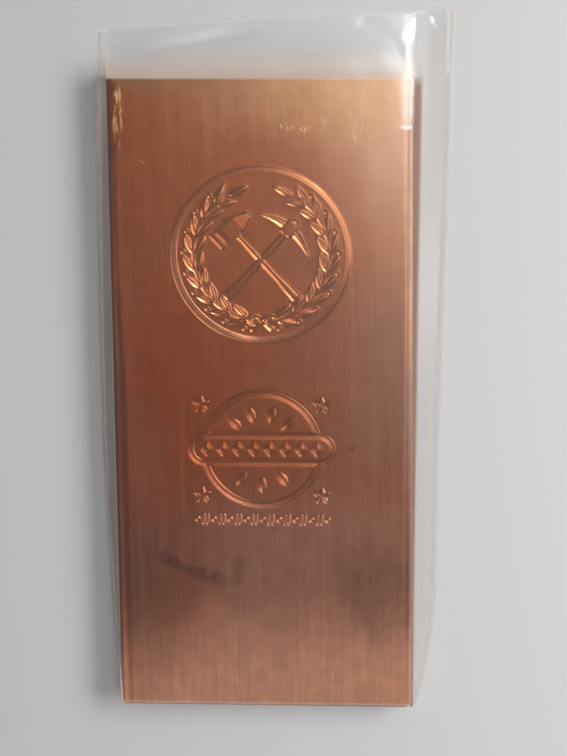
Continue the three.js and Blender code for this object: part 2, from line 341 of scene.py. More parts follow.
# the bar
bar = {
    "cornerRadius": 1.0 * mm,
    "longEdgeRadius": 2.0 * mm,
    "endEdgeRadius": 0.45 * mm,
    "cornerSegments": 6,
    "edgeSegments": 5,
    "margin": 0.35 * mm,       # flat band kept round each broad face
    "broadArea": 0.005,        # only the two broad faces are larger, in square metres
    "levelNormal": 0.999,
    "smoothAngle": 60.0,
}


def makeBar():
    clearSelection()
    bpy.ops.mesh.primitive_cube_add(size=1, location=(barLow + barHigh) / 2,
                                    scale=barHigh - barLow)
    piece = settle(bpy.context.object, "ingotStruck")
    startEdit(piece)
    pick(piece, "EDGE", lambda e: abs(e.verts[0].co.z - e.verts[1].co.z) > mm)
    bpy.ops.mesh.bevel(offset=bar["cornerRadius"], segments=bar["cornerSegments"])
    finishEdit()
    # the level edges: fully rounded along the bar, less across its ends
    share = bar["endEdgeRadius"] / bar["longEdgeRadius"]
    weights = piece.data.attributes.new("bevel_weight_edge", "FLOAT", "EDGE")
    for edge in piece.data.edges:
        start, end = (piece.data.vertices[i].co for i in edge.vertices)
        run = end - start
        if abs(run.z) < 0.1 * mm:
            weights.data[edge.index].value = share + (1 - share) * abs(run.y) / run.length
    rounding = piece.modifiers.new("rounding", "BEVEL")
    rounding.limit_method = "WEIGHT"
    rounding.width = bar["longEdgeRadius"]
    rounding.segments = bar["edgeSegments"]
    applyModifiers(piece)
    # a margin round both broad faces, then the upper one makes room for the struck sheets
    startEdit(piece)
    level, broad = bar["levelNormal"], bar["broadArea"]
    pick(piece, "FACE", lambda f: abs(f.normal.z) > level and f.calc_area() > broad)
    bpy.ops.mesh.inset(thickness=bar["margin"])
    pick(piece, "FACE", lambda f: f.normal.z > level and f.calc_area() > broad)
    bpy.ops.mesh.delete(type="FACE")
    finishEdit()
    return piece


# the medallion: a round recess with raised motifs
medal = {
    "place": (0.05 * mm, 34.8 * mm),
    "radius": 20.75 * mm,
    "depth": 0.50 * mm,
    "wall": 1.3 * mm,
    "wallCurve": 1.1,          # how hollow the wall is
    "lipHeight": 0.10 * mm,    # metal pushed up round the recess
    "lipWidth": 0.34 * mm,
    "lipSteps": 6,
    "wallSteps": 12,
    "reach": 22.8 * mm,        # the finely meshed disc
    "rings": 100,
    "fineFrom": 19.0 * mm,     # rings twice as close from here outwards
    "segments": 480,
    "dieSegments": 700,
    "dieMargin": 2.0 * mm,     # how far the die reaches past the disc
    "travel": 3.0 * mm,        # the sheet starts this far from the die
}
tools = {
    "angle": 42.0,
    "handleLength": 25.0 * mm,
    "handleHalf": 0.95 * mm,
    "handleRise": 0.38 * mm,
    "handleBody": 0.97,        # share of the length between the narrowed ends
    "handleSteps": 8,
    "gripEndRise": 0.15 * mm,
    "headEndRise": 0.20 * mm,
    "endShare": 0.6,
    "swell": 0.35,             # thicker by this share near the grip end
    "swellPlace": 0.06,
    "swellReach": 0.12,
    "thinning": 0.12,
    "drop": 1.2 * mm,          # the crossing lies this far below the medallion's centre
    "headInset": 2.6 * mm,
    "headRounding": 0.14 * mm,
    "pickHalf": 7.9 * mm,
    "pickCurve": 2.3 * mm,
    "pickSteps": 20,
    "pickWide": 1.30 * mm,     # half width at the middle, over that of the points
    "pickPoint": 0.12 * mm,
    "pickHigh": 0.48 * mm,
    "pickFall": 0.30 * mm,     # how much lower the points are
    "bossHalf": 2.5 * mm,
}
# stations along each head, in millimetres: place, half width and half height
hammerStations = ((-5.2, 1.95, 0.26), (-5.0, 2.20, 0.47), (-3.7, 2.20, 0.48), (-3.4, 1.90, 0.42),
                  (-2.6, 1.90, 0.42), (-2.2, 2.10, 0.48), (1.8, 2.10, 0.48), (2.2, 1.95, 0.45),
                  (4.9, 0.85, 0.34), (5.2, 0.65, 0.18))
bossStations = ((-1.5, 0.42), (-1.2, 0.68), (1.2, 0.68), (1.5, 0.42))
laurel = {
    "radius": 15.7 * mm,
    "start": 10.0,
    "end": 152.0,
    "pairs": 9,
    "spread": 33.0,
    "lean": 6.0,               # degrees that the leaves turn inwards with the branch
    "tipLean": 8.0,
    "leafLength": 5.2 * mm,
    "leafHalf": 1.0 * mm,
    "leafRise": 0.37 * mm,
    "leafBend": 0.5 * mm,
    "leafSteps": 10,
    "fullest": 0.8,            # under 1, a leaf is fullest before its middle
    "tipShare": 0.03,
    "berry": 0.46 * mm,
    "berryOut": 2.35 * mm,     # past the branch
    "berryAhead": 1.5,
    "stem": 0.34 * mm,
    "stemTurn": 4.0,           # the two stems cross behind the bow by this much
    "stemSweep": 150.0,
    "stemSteps": 60,
}
bow = {
    "loopRadius": 1.25 * mm,
    "ribbon": 0.42 * mm,
    "loopOut": 1.75 * mm,
    "loopUp": 0.20 * mm,
    "loopRise": 0.05 * mm,
    "loopShape": (1.15, 0.72, 1.0),
    "loopTilt": 14.0,
    "tailTurn": 48.0,
    "knot": 0.75 * mm,
    "knotShape": (0.85, 1.1, 0.8),
}
# stations along a ribbon end, in millimetres: along, across, half width and half height
tailStations = ((0, 0, 0.35, 0.3), (1.6, 0, 0.55, 0.4), (3.2, 0.1, 0.75, 0.4),
                (3.5, 0.1, 0.6, 0.2))


def ringedSheet():
    # an edge from the middle out, cut into steps and spun into a disc
    reach = medal["reach"]
    x, y = medal["place"]
    z = faceZ + medal["travel"]
    clearSelection()
    bpy.ops.mesh.primitive_plane_add(size=reach, location=(x + reach / 2, y + reach / 2, z))
    piece = settle(bpy.context.object, "medalSheet")
    startEdit(piece)
    pick(piece, "VERT", lambda v: v.co.y > y + reach / 2)
    bpy.ops.mesh.delete(type="VERT")
    selectWhole()
    bpy.ops.mesh.subdivide(number_cuts=medal["rings"] - 1)
    pick(piece, "EDGE", lambda e: min(v.co.x for v in e.verts) > x + medal["fineFrom"])
    bpy.ops.mesh.subdivide(number_cuts=1)
    selectWhole()
    bpy.ops.mesh.spin(steps=medal["segments"], angle=2 * math.pi, center=(x, y, z),
                      axis=(0, 0, 1))
    selectWhole()
    bpy.ops.mesh.remove_doubles(threshold=hair)
    finishEdit()
    return piece


def recessDie():
    radius, wall, depth = medal["radius"], medal["wall"], medal["depth"]
    lip, lipWidth = medal["lipHeight"], medal["lipWidth"]
    profile = [(medal["reach"] + medal["dieMargin"], faceZ), (radius + lipWidth, faceZ)]
    for step in range(1, medal["lipSteps"]):
        share = step / medal["lipSteps"]
        profile.append((radius + lipWidth * (1 - share),
                        faceZ + lip * math.sin(share * math.pi / 2) ** 2))
    profile.append((radius, faceZ + lip))
    for step in range(1, medal["wallSteps"] + 1):
        share = step / medal["wallSteps"]
        fall = 1 - (1 - share) ** medal["wallCurve"]
        profile.append((radius - wall * share, faceZ + lip - (depth + lip) * fall))
    return turnedRings("recessDie", medal["place"], medal["dieSegments"], profile)


def makeLeaf(bend):
    # pointed at both ends and fullest before its middle, with a ridge along it
    length, half, rise = laurel["leafLength"], laurel["leafHalf"], laurel["leafRise"]
    stations = []
    for step in range(laurel["leafSteps"] + 1):
        share = step / laurel["leafSteps"]
        width = math.sin(math.pi * share ** laurel["fullest"]) ** 0.9
        width = max(width, laurel["tipShare"])
        stations.append((length * share, bend * share ** 2, half * width,
                         rise * max(width, 0.2) ** 0.6))
    return loft("leaf", 4, 0, stations)


def makeHandle():
    # swells near the grip end and thins towards the head
    length, half, rise = tools["handleLength"], tools["handleHalf"], tools["handleRise"]
    end, body = tools["endShare"] * half, tools["handleBody"]
    stations = [(-0.5 * length, 0, end, tools["gripEndRise"])]
    for step in range(tools["handleSteps"] + 1):
        share = step / tools["handleSteps"]
        swell = math.exp(-((share - tools["swellPlace"]) / tools["swellReach"]) ** 2)
        wide = half * (1 + tools["swell"] * swell - tools["thinning"] * share)
        stations.append(((body * share - 0.5 * body) * length, 0, wide, rise))
    stations.append((0.5 * length, 0, end, tools["headEndRise"]))
    return loft("handle", 10, 0, stations)


def makeHammerHead():
    # a block with a broad striking face, tapering to a wedge at the other end
    corner = math.sqrt(2)
    head = loft("hammerHead", 4, math.radians(45), [
        (x * mm, 0, wide * corner * mm, high * corner * mm) for x, wide, high in hammerStations])
    startEdit(head)
    selectWhole()
    bpy.ops.mesh.bevel(offset=tools["headRounding"], segments=2)
    finishEdit()
    return head


def makePickHead():
    # a curved bar, thickest at the eye block that the handle passes through
    half, curve = tools["pickHalf"], tools["pickCurve"]
    stations = []
    for step in range(tools["pickSteps"] + 1):
        share = 2 * step / tools["pickSteps"] - 1
        wide = tools["pickWide"] * (1 - abs(share) ** 1.5) + tools["pickPoint"]
        high = tools["pickHigh"] - tools["pickFall"] * abs(share) ** 1.8
        stations.append((half * share, -curve * share ** 2, wide, high))
    pickHead = loft("pickHead", 4, 0, stations)
    boss = loft("pickBoss", 4, math.radians(45), [
        (x * mm, 0, tools["bossHalf"], high * mm) for x, high in bossStations])
    return join([pickHead, boss], "pickHead")


def makeToolDies(x, y, z):
    dies = []
    handle, hammerHead, pickHead = makeHandle(), makeHammerHead(), makePickHead()
    for side, head in ((-1, hammerHead), (1, pickHead)):
        lean = math.radians(90 - side * tools["angle"])
        dies.append(copyTo(handle, "handleDie", (x, y - tools["drop"], z), lean))
        outX, outY = clock(tools["handleLength"] / 2 - tools["headInset"], side * tools["angle"])
        dies.append(copyTo(head, "headDie", (x + outX, y - tools["drop"] + outY, z),
                           lean - math.pi / 2))
    for piece in (handle, hammerHead, pickHead):
        discard(piece)
    return dies


def makeBranchDies(x, y, z):
    dies = []
    leaves = {side: makeLeaf(-side * laurel["leafBend"]) for side in (-1, 1)}
    clearSelection()
    bpy.ops.mesh.primitive_uv_sphere_add(segments=14, ring_count=8, radius=laurel["berry"])
    berry = bpy.context.object
    radius = laurel["radius"]
    for side in (-1, 1):
        step = (laurel["end"] - laurel["start"]) / laurel["pairs"]
        for i in range(laurel["pairs"]):
            angle = laurel["start"] + step * (i + 0.1)
            stemX, stemY = clock(radius, 180 - side * angle)
            along = math.radians(side * (angle + laurel["lean"]) + (0 if side > 0 else 180))
            for out in (-1, 1):
                turn = along - out * math.radians(laurel["spread"])
                dies.append(copyTo(leaves[-out], "leafDie", (x + stemX, y + stemY, z), turn))
            berryX, berryY = clock(radius + laurel["berryOut"],
                                   180 - side * (angle + laurel["berryAhead"]))
            dies.append(copyTo(berry, "berryDie", (x + berryX, y + berryY, z), 0))
        tipX, tipY = clock(radius, 180 - side * laurel["end"])
        tipTurn = math.radians(side * (laurel["end"] + laurel["tipLean"])
                               + (0 if side > 0 else 180))
        dies.append(copyTo(leaves[side], "leafDie", (x + tipX, y + tipY, z), tipTurn))
        clearSelection()
        bpy.ops.mesh.primitive_circle_add(vertices=8, radius=laurel["stem"], fill_type="NGON",
                                          location=(x, y - radius, z),
                                          rotation=(0, math.pi / 2, 0))
        stem = settle(bpy.context.object, "stemDie")
        startEdit(stem)
        selectWhole()
        bpy.ops.transform.rotate(value=-side * math.radians(laurel["stemTurn"]),
                                 orient_axis="Z", center_override=(x, y, z))
        bpy.ops.mesh.spin(steps=laurel["stemSteps"], center=(x, y, z), axis=(0, 0, 1),
                          angle=side * math.radians(laurel["stemSweep"]))
        finishEdit()
        dies.append(stem)
    for piece in (leaves[-1], leaves[1], berry):
        discard(piece)
    return dies


def makeBowDies(x, y, z):
    # the ribbon that ties the two branches
    dies = []
    low = y - laurel["radius"]
    for side in (-1, 1):
        clearSelection()
        bpy.ops.mesh.primitive_torus_add(
            major_segments=28, minor_segments=8, major_radius=bow["loopRadius"],
            minor_radius=bow["ribbon"], rotation=(0, 0, side * math.radians(bow["loopTilt"])),
            location=(x + side * bow["loopOut"], low + bow["loopUp"], z + bow["loopRise"]))
        loop = bpy.context.object
        loop.scale = bow["loopShape"]
        dies.append(settle(loop, "bowLoop"))
        tail = loft("bowTail", 4, 0, [[size * mm for size in station] for station in tailStations])
        tail.rotation_euler = (0, 0, math.radians(-90 + side * bow["tailTurn"]))
        tail.location = (x, low, z)
        dies.append(settle(tail, "bowTail"))
    clearSelection()
    bpy.ops.mesh.primitive_uv_sphere_add(segments=16, ring_count=10, radius=bow["knot"],
                                         location=(x, low, z))
    knot = bpy.context.object
    knot.scale = bow["knotShape"]
    dies.append(settle(knot, "bowKnot"))
    return dies


def makeMedal():
    x, y = medal["place"]
    floorZ = faceZ - medal["depth"]
    dies = [recessDie()] + makeToolDies(x, y, floorZ) + makeBranchDies(x, y, floorZ)
    dies += makeBowDies(x, y, floorZ)
    die = join(dies, "medalDie")
    sheet = ringedSheet()
    pressOnto(sheet, die, upward=False)
    discard(die)
    startEdit(sheet)
    pick(sheet, "VERT", lambda v: not v.is_boundary)
    bpy.ops.mesh.vertices_smooth(factor=0.5, repeat=1)
    finishEdit()
    return sheet


# the emblem: lines and marks struck into the face
emblem = {
    "place": (-0.2 * mm, -11.7 * mm),
    "ringRadius": 13.6 * mm,
    "lineRadius": 1.5 * mm,    # round nose of the line tool
    "lineDepth": 0.21 * mm,
    "panelHalfLength": 16.7 * mm,
    "panelHalfHeight": 3.3 * mm,
    "starRadius": 2.5 * mm,
    "starStart": 0.15 * mm,    # a star's die starts this far above the face, a little larger
    "starSpread": 1.12,
    "starFoot": 0.62,
    "starWaist": 0.42,
    "starOffset": 14.1 * mm,
    "starTop": 10.85 * mm,
    "starBottom": 11.3 * mm,
    "markDepth": 0.30 * mm,
    "sheet": (36.4 * mm, 36.6 * mm),
    "sheetMiddle": (-0.2 * mm, -13.2 * mm),
    "cell": 0.21 * mm,
}
panelMarks = {"count": 8, "pitch": 3.7 * mm, "halfHeight": 1.5 * mm, "halfWidth": 1.15 * mm,
              "line": 0.42 * mm, "rise": 0.20 * mm}
leafMarks = {"length": 4.9 * mm, "half": 1.20 * mm, "high": 0.52 * mm, "rise": 0.22 * mm,
             "steps": 12, "fullest": 0.85, "tipShare": 0.05}
arcMarks = {"radius": 8.9 * mm, "angles": (-45, -16, 16, 45)}
dropMarks = {"radius": 8.5 * mm, "angles": (-34, 0, 34)}
beadRow = {"drop": 17.25 * mm, "count": 9, "pitch": 3.85 * mm, "radius": 1.15 * mm,
           "depth": 0.24 * mm, "reelHalf": 1.45 * mm, "reelSpread": 0.46 * mm,
           "reelRise": 0.16 * mm}
# along a reel: share of its half length, then half width and half height in millimetres
reelStations = ((-1.0, 0.15, 0.15), (-0.8, 0.36, 0.40), (0.8, 0.36, 0.40), (1.0, 0.15, 0.15))


def lineHeight():
    # middle of the line tool above the face, so that its nose dips to the line's depth
    return faceZ + emblem["lineRadius"] - emblem["lineDepth"]


def makeRingDies(x, y):
    dies = []
    for side in (-1, 1):
        clearSelection()
        bpy.ops.mesh.primitive_torus_add(
            major_segments=240, minor_segments=28, major_radius=emblem["ringRadius"],
            minor_radius=emblem["lineRadius"], location=(x, y, lineHeight()))
        ring = settle(bpy.context.object, "ringDie")
        startEdit(ring)
        selectWhole()
        bpy.ops.mesh.bisect(plane_co=(x, y + side * emblem["panelHalfHeight"], faceZ),
                            plane_no=(0, side, 0), clear_inner=True)
        finishEdit()
        dies.append(ring)
    return dies


def makePanelDie(x, y):
    # a round-ended loop drawn out from a circle, then given the line tool's section
    half = emblem["panelHalfHeight"]
    shift = emblem["panelHalfLength"] - half
    clearSelection()
    bpy.ops.mesh.primitive_circle_add(vertices=64, radius=half, location=(x, y, lineHeight()))
    loop = settle(bpy.context.object, "panelDie")
    startEdit(loop)
    for side in (-1, 1):
        pick(loop, "VERT", lambda v: side * (v.co.x - x) > hair)
        bpy.ops.transform.translate(value=(side * shift, 0, 0))
    pick(loop, "VERT", lambda v: abs(v.co.x - x) < hair)
    bpy.ops.mesh.dissolve_verts()
    finishEdit()
    takeUp(loop)
    bpy.ops.object.convert(target="CURVE")
    loop = bpy.context.object
    loop.data.bevel_depth = emblem["lineRadius"]
    loop.data.bevel_resolution = 8
    bpy.ops.object.convert(target="MESH")
    return settle(bpy.context.object, "panelDie")


def makeStar():
    # ten points on a circle, every other one drawn in, then driven down with sloping sides
    clearSelection()
    bpy.ops.mesh.primitive_circle_add(
        vertices=10, radius=emblem["starRadius"] * emblem["starSpread"], fill_type="NGON",
        location=(0, 0, emblem["starStart"]))
    star = settle(bpy.context.object, "star")
    startEdit(star)
    corners = [(math.sin(math.radians(36 + 72 * i)), math.cos(math.radians(36 + 72 * i)))
               for i in range(5)]
    pick(star, "VERT", lambda v: any(
        v.co.x * a + v.co.y * b > 0.99 * v.co.xy.length for a, b in corners))
    waist = emblem["starWaist"]
    bpy.ops.transform.resize(value=(waist, waist, 1), center_override=(0, 0, 0))
    selectWhole()
    bpy.ops.mesh.extrude_region_move(TRANSFORM_OT_translate={
        "value": (0, 0, -emblem["starStart"] - emblem["markDepth"])})
    foot = emblem["starFoot"]
    bpy.ops.transform.resize(value=(foot, foot, 1), center_override=(0, 0, 0))
    finishEdit()
    return star


def makeMarkLeaf():
    stations = []
    for step in range(leafMarks["steps"] + 1):
        share = step / leafMarks["steps"]
        width = max(math.sin(math.pi * share ** leafMarks["fullest"]), leafMarks["tipShare"])
        stations.append((leafMarks["length"] * (share - 0.5), 0, leafMarks["half"] * width,
                         leafMarks["high"] * width ** 0.5))
    return loft("markLeaf", 8, 0, stations)


def makeReel(x, y):
    half = beadRow["reelHalf"]
    reel = loft("reelDie", 8, 0, [
        (share * half, 0, wide * mm, high * mm) for share, wide, high in reelStations])
    reel.rotation_euler = (0, 0, math.pi / 2)
    reel.location = (x, y, faceZ + beadRow["reelRise"])
    return settle(reel, "reelDie")


def makeMarkDies(x, y):
    dies = []
    star = makeStar()
    for side in (-1, 1):
        for rise in (emblem["starTop"], -emblem["starBottom"]):
            dies.append(copyTo(star, "starDie", (x + side * emblem["starOffset"], y + rise, faceZ)))
    discard(star)
    for i in range(panelMarks["count"]):
        place = x + (i - (panelMarks["count"] - 1) / 2) * panelMarks["pitch"]
        clearSelection()
        bpy.ops.mesh.primitive_torus_add(
            major_segments=4, minor_segments=12, major_radius=panelMarks["halfHeight"],
            minor_radius=panelMarks["line"], location=(place, y, faceZ + panelMarks["rise"]))
        lozenge = bpy.context.object
        lozenge.scale = (panelMarks["halfWidth"] / panelMarks["halfHeight"], 1, 1)
        dies.append(settle(lozenge, "lozengeDie"))
    leaf = makeMarkLeaf()
    leafZ = faceZ + leafMarks["rise"]
    for angle in arcMarks["angles"]:
        outX, outY = clock(arcMarks["radius"], angle)
        dies.append(copyTo(leaf, "markDie", (x + outX, y + outY, leafZ),
                           math.radians(90 - angle)))
    for angle in dropMarks["angles"]:
        outX, outY = clock(dropMarks["radius"], 180 - angle)
        dies.append(copyTo(leaf, "markDie", (x + outX, y + outY, leafZ),
                           math.radians(90 + angle)))
    discard(leaf)
    row = y - beadRow["drop"]
    for i in range(beadRow["count"]):
        place = x + (i - (beadRow["count"] - 1) / 2) * beadRow["pitch"]
        clearSelection()
        bpy.ops.mesh.primitive_uv_sphere_add(
            segments=24, ring_count=16, radius=beadRow["radius"],
            location=(place, row, faceZ + beadRow["radius"] - beadRow["depth"]))
        dies.append(settle(bpy.context.object, "beadDie"))
        if i < beadRow["count"] - 1:
            for side in (-1, 1):
                between = place + beadRow["pitch"] / 2 + side * beadRow["reelSpread"]
                dies.append(makeReel(between, row))
    return dies


def makeEmblem():
    x, y = emblem["place"]
    width, length = emblem["sheet"]
    middleX, middleY = emblem["sheetMiddle"]
    clearSelection()
    bpy.ops.mesh.primitive_plane_add(size=2 * length, location=(middleX, middleY, faceZ))
    plate = settle(bpy.context.object, "plateDie")
    die = join([plate, makePanelDie(x, y)] + makeRingDies(x, y) + makeMarkDies(x, y), "emblemDie")
    clearSelection()
    bpy.ops.mesh.primitive_grid_add(
        x_subdivisions=round(width / emblem["cell"]), y_subdivisions=round(length / emblem["cell"]),
        size=1, location=(middleX, middleY, faceZ - medal["travel"]))
    sheet = bpy.context.object
    sheet.scale = (width, length, 1)
    settle(sheet, "emblemSheet")
    pressOnto(sheet, die, upward=True)
    discard(die)
    startEdit(sheet)
    pick(sheet, "VERT", lambda v: not v.is_boundary)
    bpy.ops.mesh.vertices_smooth(factor=0.5, repeat=2)
    finishEdit()
    return sheet


def makeIngot():
    piece = join([makeBar(), makeMedal(), makeEmblem()], "ingotStruck")
    startEdit(piece)
    pick(piece, "EDGE", lambda e: e.is_boundary)
    bpy.ops.mesh.fill(use_beauty=True)
    selectWhole()
    bpy.ops.mesh.normals_make_consistent(inside=False)
    finishEdit()
    takeUp(piece)
    bpy.ops.object.shade_smooth_by_angle(angle=math.radians(bar["smoothAngle"]))
    return piece


# copper: brushed along the bar, made darker by air and handling, with the room's reflections and
# shade painted into its colour in places
copperTones = {
    "red": (0.345, 0.074, 0.023, 1),
    "brown": (0.36, 0.112, 0.048, 1),
    "purple": (0.28, 0.100, 0.062, 1),
    "dark": (0.21, 0.073, 0.043, 1),
    "umber": (0.44, 0.205, 0.140, 1),
    "ash": (0.325, 0.150, 0.092, 1),
    "olive": (0.34, 0.170, 0.080, 1),
    "gold": (0.56, 0.310, 0.155, 1),
    "pink": (0.88, 0.410, 0.250, 1),
    "smudge": (0.17, 0.062, 0.046, 1),
    # bright nicks, and painted glints on the left edge
    "nickAndGlint": (0.95, 0.52, 0.26, 1),
    # painted shade on the left long edge and the lower end's edge
    "edge": (0.12, 0.040, 0.024, 1),
    "paintedWallHighlight": (0.95, 0.38, 0.20, 1),         # painted highlight on the medallion's wall where it faces up the bar
    "rubbed": (0.95, 0.52, 0.34, 1),      # painted highlight on the right edge and the upper end's edge
    "paintedSlopeSheen": (0.72, 0.270, 0.115, 1),    # painted sheen that lightens the relief's slopes
}
copperFinish = {
    "roughness": 0.32,
    "grain": 0.08,             # how much rougher or smoother each of these makes it
    "patch": 0.05,
    "slope": 0.12,
    "dull": 0.22,
    "slopeTone": 0.8,
    "nickTone": 0.8,
    "nickSoftness": 0.9,
    "bump": 0.12,
    "bumpDepth": 0.00006,
    "grainHeight": 0.6,
    "fineGrainHeight": 0.4,
    "nickDepth": 1.5,
}
# noises stretched along the bar: how fine across and along, their detail and their seed
grains = {
    "cloud": (38, 20, 4.0, 3.1),
    "streak": (420, 14, 3.0, 7.7),
    "grain": (2600, 60, 2.0, 1.3),
    "fineGrain": (7000, 160, 1.0, 5.9),
    "mottle": (330, 270, 3.0, 11.3),
    "smear": (200, 120, 4.0, 9.4),
    "nick": (1500, 1100, 2.0, 8.3),
    "edgeGlint": (1700, 260, 3.0, 6.1),
    "haze": (90, 40, 4.0, 2.2),
    "film": (900, 500, 2.0, 4.4),
}
# a place measured along one measure and some share of another
copperMeasures = {
    "wavy": ("y", "cloud", 0.022),
    "rising": ("wavy", "x", -0.10),
    "topLine": ("y", "streak", 0.012),
    "rimLine": ("y", "streak", 0.006),
    "corner": ("x", "y", 0.6),
}
# tones laid one over another: redder on the left, browner and greyer towards the right, pink low
# down and gold on top; partly tarnish and partly painted light: the gold and pink are painted
# reflections, the greyer right side painted glare and the dark band low down partly painted shade;
# each has its strength, and its fades with the span of each
copperZones = (
    ("brown", 1.0, ("x", -0.034, 0.030)),
    ("brown", 1.0, ("y", 0.000, 0.036, 0.0, 0.7)),
    ("purple", 0.8, ("cloud", 0.42, 0.66), ("y", 0.058, 0.020)),
    ("ash", 0.9, ("x", 0.006, 0.030), ("y", 0.044, 0.016), ("y", -0.030, -0.006)),
    ("dark", 1.0, ("wavy", -0.006, -0.026), ("x", -0.033, -0.004, 0.85, 0.08)),
    ("umber", 1.0, ("wavy", -0.004, -0.026), ("x", -0.026, -0.002, 0.15, 0.75)),
    ("pink", 1.0, ("rising", -0.034, -0.062), ("x", -0.034, -0.012, 0.65, 1.0)),
    ("gold", 1.0, ("topLine", 0.062, 0.083), ("x", -0.034, 0.014, 0.02, 0.85)),
    ("olive", 1.0, ("rimLine", 0.0730, 0.0790, 0.0, 0.75), ("x", 0.010, -0.020)),
    ("gold", 1.0, ("streak", 0.55, 0.85, 0.0, 0.20)),
    ("gold", 1.0, ("corner", 0.036, 0.068, 0.0, 0.6)),
)
# the lower end's edge is painted darker than the face, as painted shade, and the upper one lighter,
# as a painted highlight
copperEnds = (
    ("edge", 1.0, ("y", -0.0757, -0.0760, 0.0, 0.85)),
    ("rubbed", 1.0, ("y", 0.0756, 0.0759, 0.0, 0.8)),
)
copperSpans = {
    "slope": (0.998, 0.955),                    # by the upright part of the normal
    "slopeAlong": (0.005, 0.013, 0.30, 1.0),    # the painted sheen and smoother finish are strongest in the medallion
    "wallUp": (0.05, 0.40),
    "smearBreaks": (0.25, 0.60),
    "nickBreaks": (0.47, 0.60),
    "edgeGlintBreaks": (0.48, 0.58),
    "leftEdge": (-0.0324, -0.0337, 0.0, 0.87),
    "leftNarrowing": (0.036, -0.004, 0.0, 0.0013),
    "leftEnding": (-0.072, -0.046, 0.50, 1.0),
    "rightEdge": (0.0331, 0.0336),
    "rightUpper": (-0.045, 0.062, 0.0, 1.0),
    "rightLower": (-0.050, -0.070, 0.0, 0.6),
    "grainLight": (0.30, 0.70, 0.935, 1.065),
    "mottleLight": (0.30, 0.70, 0.94, 1.06),
    "patch": (0.35, 0.7, 0.0, copperFinish["patch"]),
}
medalWall = ((0.0206, 0.02), (0.0196, 0.04))     # outer and inner radius, each with its softness
# smears left by handling: place, half sizes, turn and strength
smears = (((-0.0222, -0.0394), (0.0046, 0.0022), -30, 0.85),
          ((-0.0140, -0.0430), (0.0090, 0.0024), -14, 0.75),
          ((-0.0060, -0.0415), (0.0022, 0.0046), 0, 0.42),
          ((0.0268, -0.0473), (0.0120, 0.0170), 20, 0.35),
          ((0.0210, -0.0114), (0.0009, 0.0009), 0, 0.55))
# bright nicks near the upper end: place, half sizes and turn
nicks = (((-0.0270, 0.0565), (0.0015, 0.0003), -35), ((-0.0257, 0.0557), (0.0009, 0.0003), 30),
         ((0.0060, 0.0647), (0.0028, 0.0011), -10), ((0.0100, 0.0638), (0.0026, 0.0012), 20),
         ((0.0145, 0.0659), (0.0008, 0.0014), 10), ((0.0217, 0.0624), (0.0010, 0.0022), 15))
leftEdgeGlints = ((-0.0324, 0.0690), (0.0016, 0.0115), 0, 0.5)      # painted glints, in broken lines on the left edge's rounding


def makeGrainGroup():
    # a noise stretched along the bar, used by both materials
    group = bpy.data.node_groups.new("stretchedGrain", "ShaderNodeTree")
    for name, kind in (("Position", "NodeSocketVector"), ("Across", "NodeSocketFloat"),
                       ("Along", "NodeSocketFloat"), ("Detail", "NodeSocketFloat"),
                       ("Seed", "NodeSocketFloat")):
        group.interface.new_socket(name, in_out="INPUT", socket_type=kind)
    group.interface.new_socket("Value", in_out="OUTPUT", socket_type="NodeSocketFloat")
    given = group.nodes.new("NodeGroupInput").outputs
    scale = addNode(group, "ShaderNodeCombineXYZ", {
        0: given["Across"], 1: given["Along"], 2: given["Across"]})
    place = addNode(group, "ShaderNodeCombineXYZ", {0: given["Seed"], 1: given["Seed"]})
    stretched = addNode(group, "ShaderNodeMapping", {
        "Vector": given["Position"], "Location": place.outputs[0], "Scale": scale.outputs[0]})
    noise = addNode(group, "ShaderNodeTexNoise", {
        "Vector": stretched.outputs[0], "Scale": 1.0, "Detail": given["Detail"],
        "Roughness": 0.55})
    result = group.nodes.new("NodeGroupOutput")
    group.links.new(noise.outputs[0], result.inputs["Value"])
    return group


def grainNoise(tree, position, name):
    across, along, detail, seed = grains[name]
    node = addNode(tree, "ShaderNodeGroup")
    node.node_tree = grainGroup
    for socket, value in (("Across", across), ("Along", along), ("Detail", detail),
                          ("Seed", seed)):
        node.inputs[socket].default_value = value
    tree.links.new(position, node.inputs["Position"])
    return node.outputs["Value"]


def spot(tree, position, place, size, turn=0.0, edge=0.6):
    # 1 inside an ellipse at this place, falling to 0 at its rim
    moved = addNode(tree, "ShaderNodeMapping", {
        "Vector": position, "Location": (*place, 0), "Rotation": (0, 0, math.radians(turn)),
        "Scale": (*size, 1.0)}, vector_type="TEXTURE")
    parts = addNode(tree, "ShaderNodeSeparateXYZ", {0: moved.outputs[0]})
    flat = addNode(tree, "ShaderNodeCombineXYZ", {0: parts.outputs[0], 1: parts.outputs[1]})
    far = addNode(tree, "ShaderNodeVectorMath", {0: flat.outputs[0]}, operation="LENGTH")
    return rescale(tree, far.outputs["Value"], (1.0, 1.0 - edge))


def layTones(tree, tone, zones, measures):
    for name, strength, *fades in zones:
        mask = times(tree, overlap(tree, fades, measures), strength)
        tone = mixTone(tree, mask, tone, copperTones[name])
    return tone


def makeNicksAndGlints(tree, position):
    nicked = 0.0
    for mark in nicks:
        nicked = largest(tree, spot(tree, position, *mark, copperFinish["nickSoftness"]), nicked)
    nicked = times(tree, nicked, rescale(tree, grainNoise(tree, position, "nick"),
                                         copperSpans["nickBreaks"]))
    glinted = times(tree, rescale(tree, grainNoise(tree, position, "edgeGlint"),
                                  copperSpans["edgeGlintBreaks"]),
                    spot(tree, position, *leftEdgeGlints))
    return largest(tree, glinted, nicked)


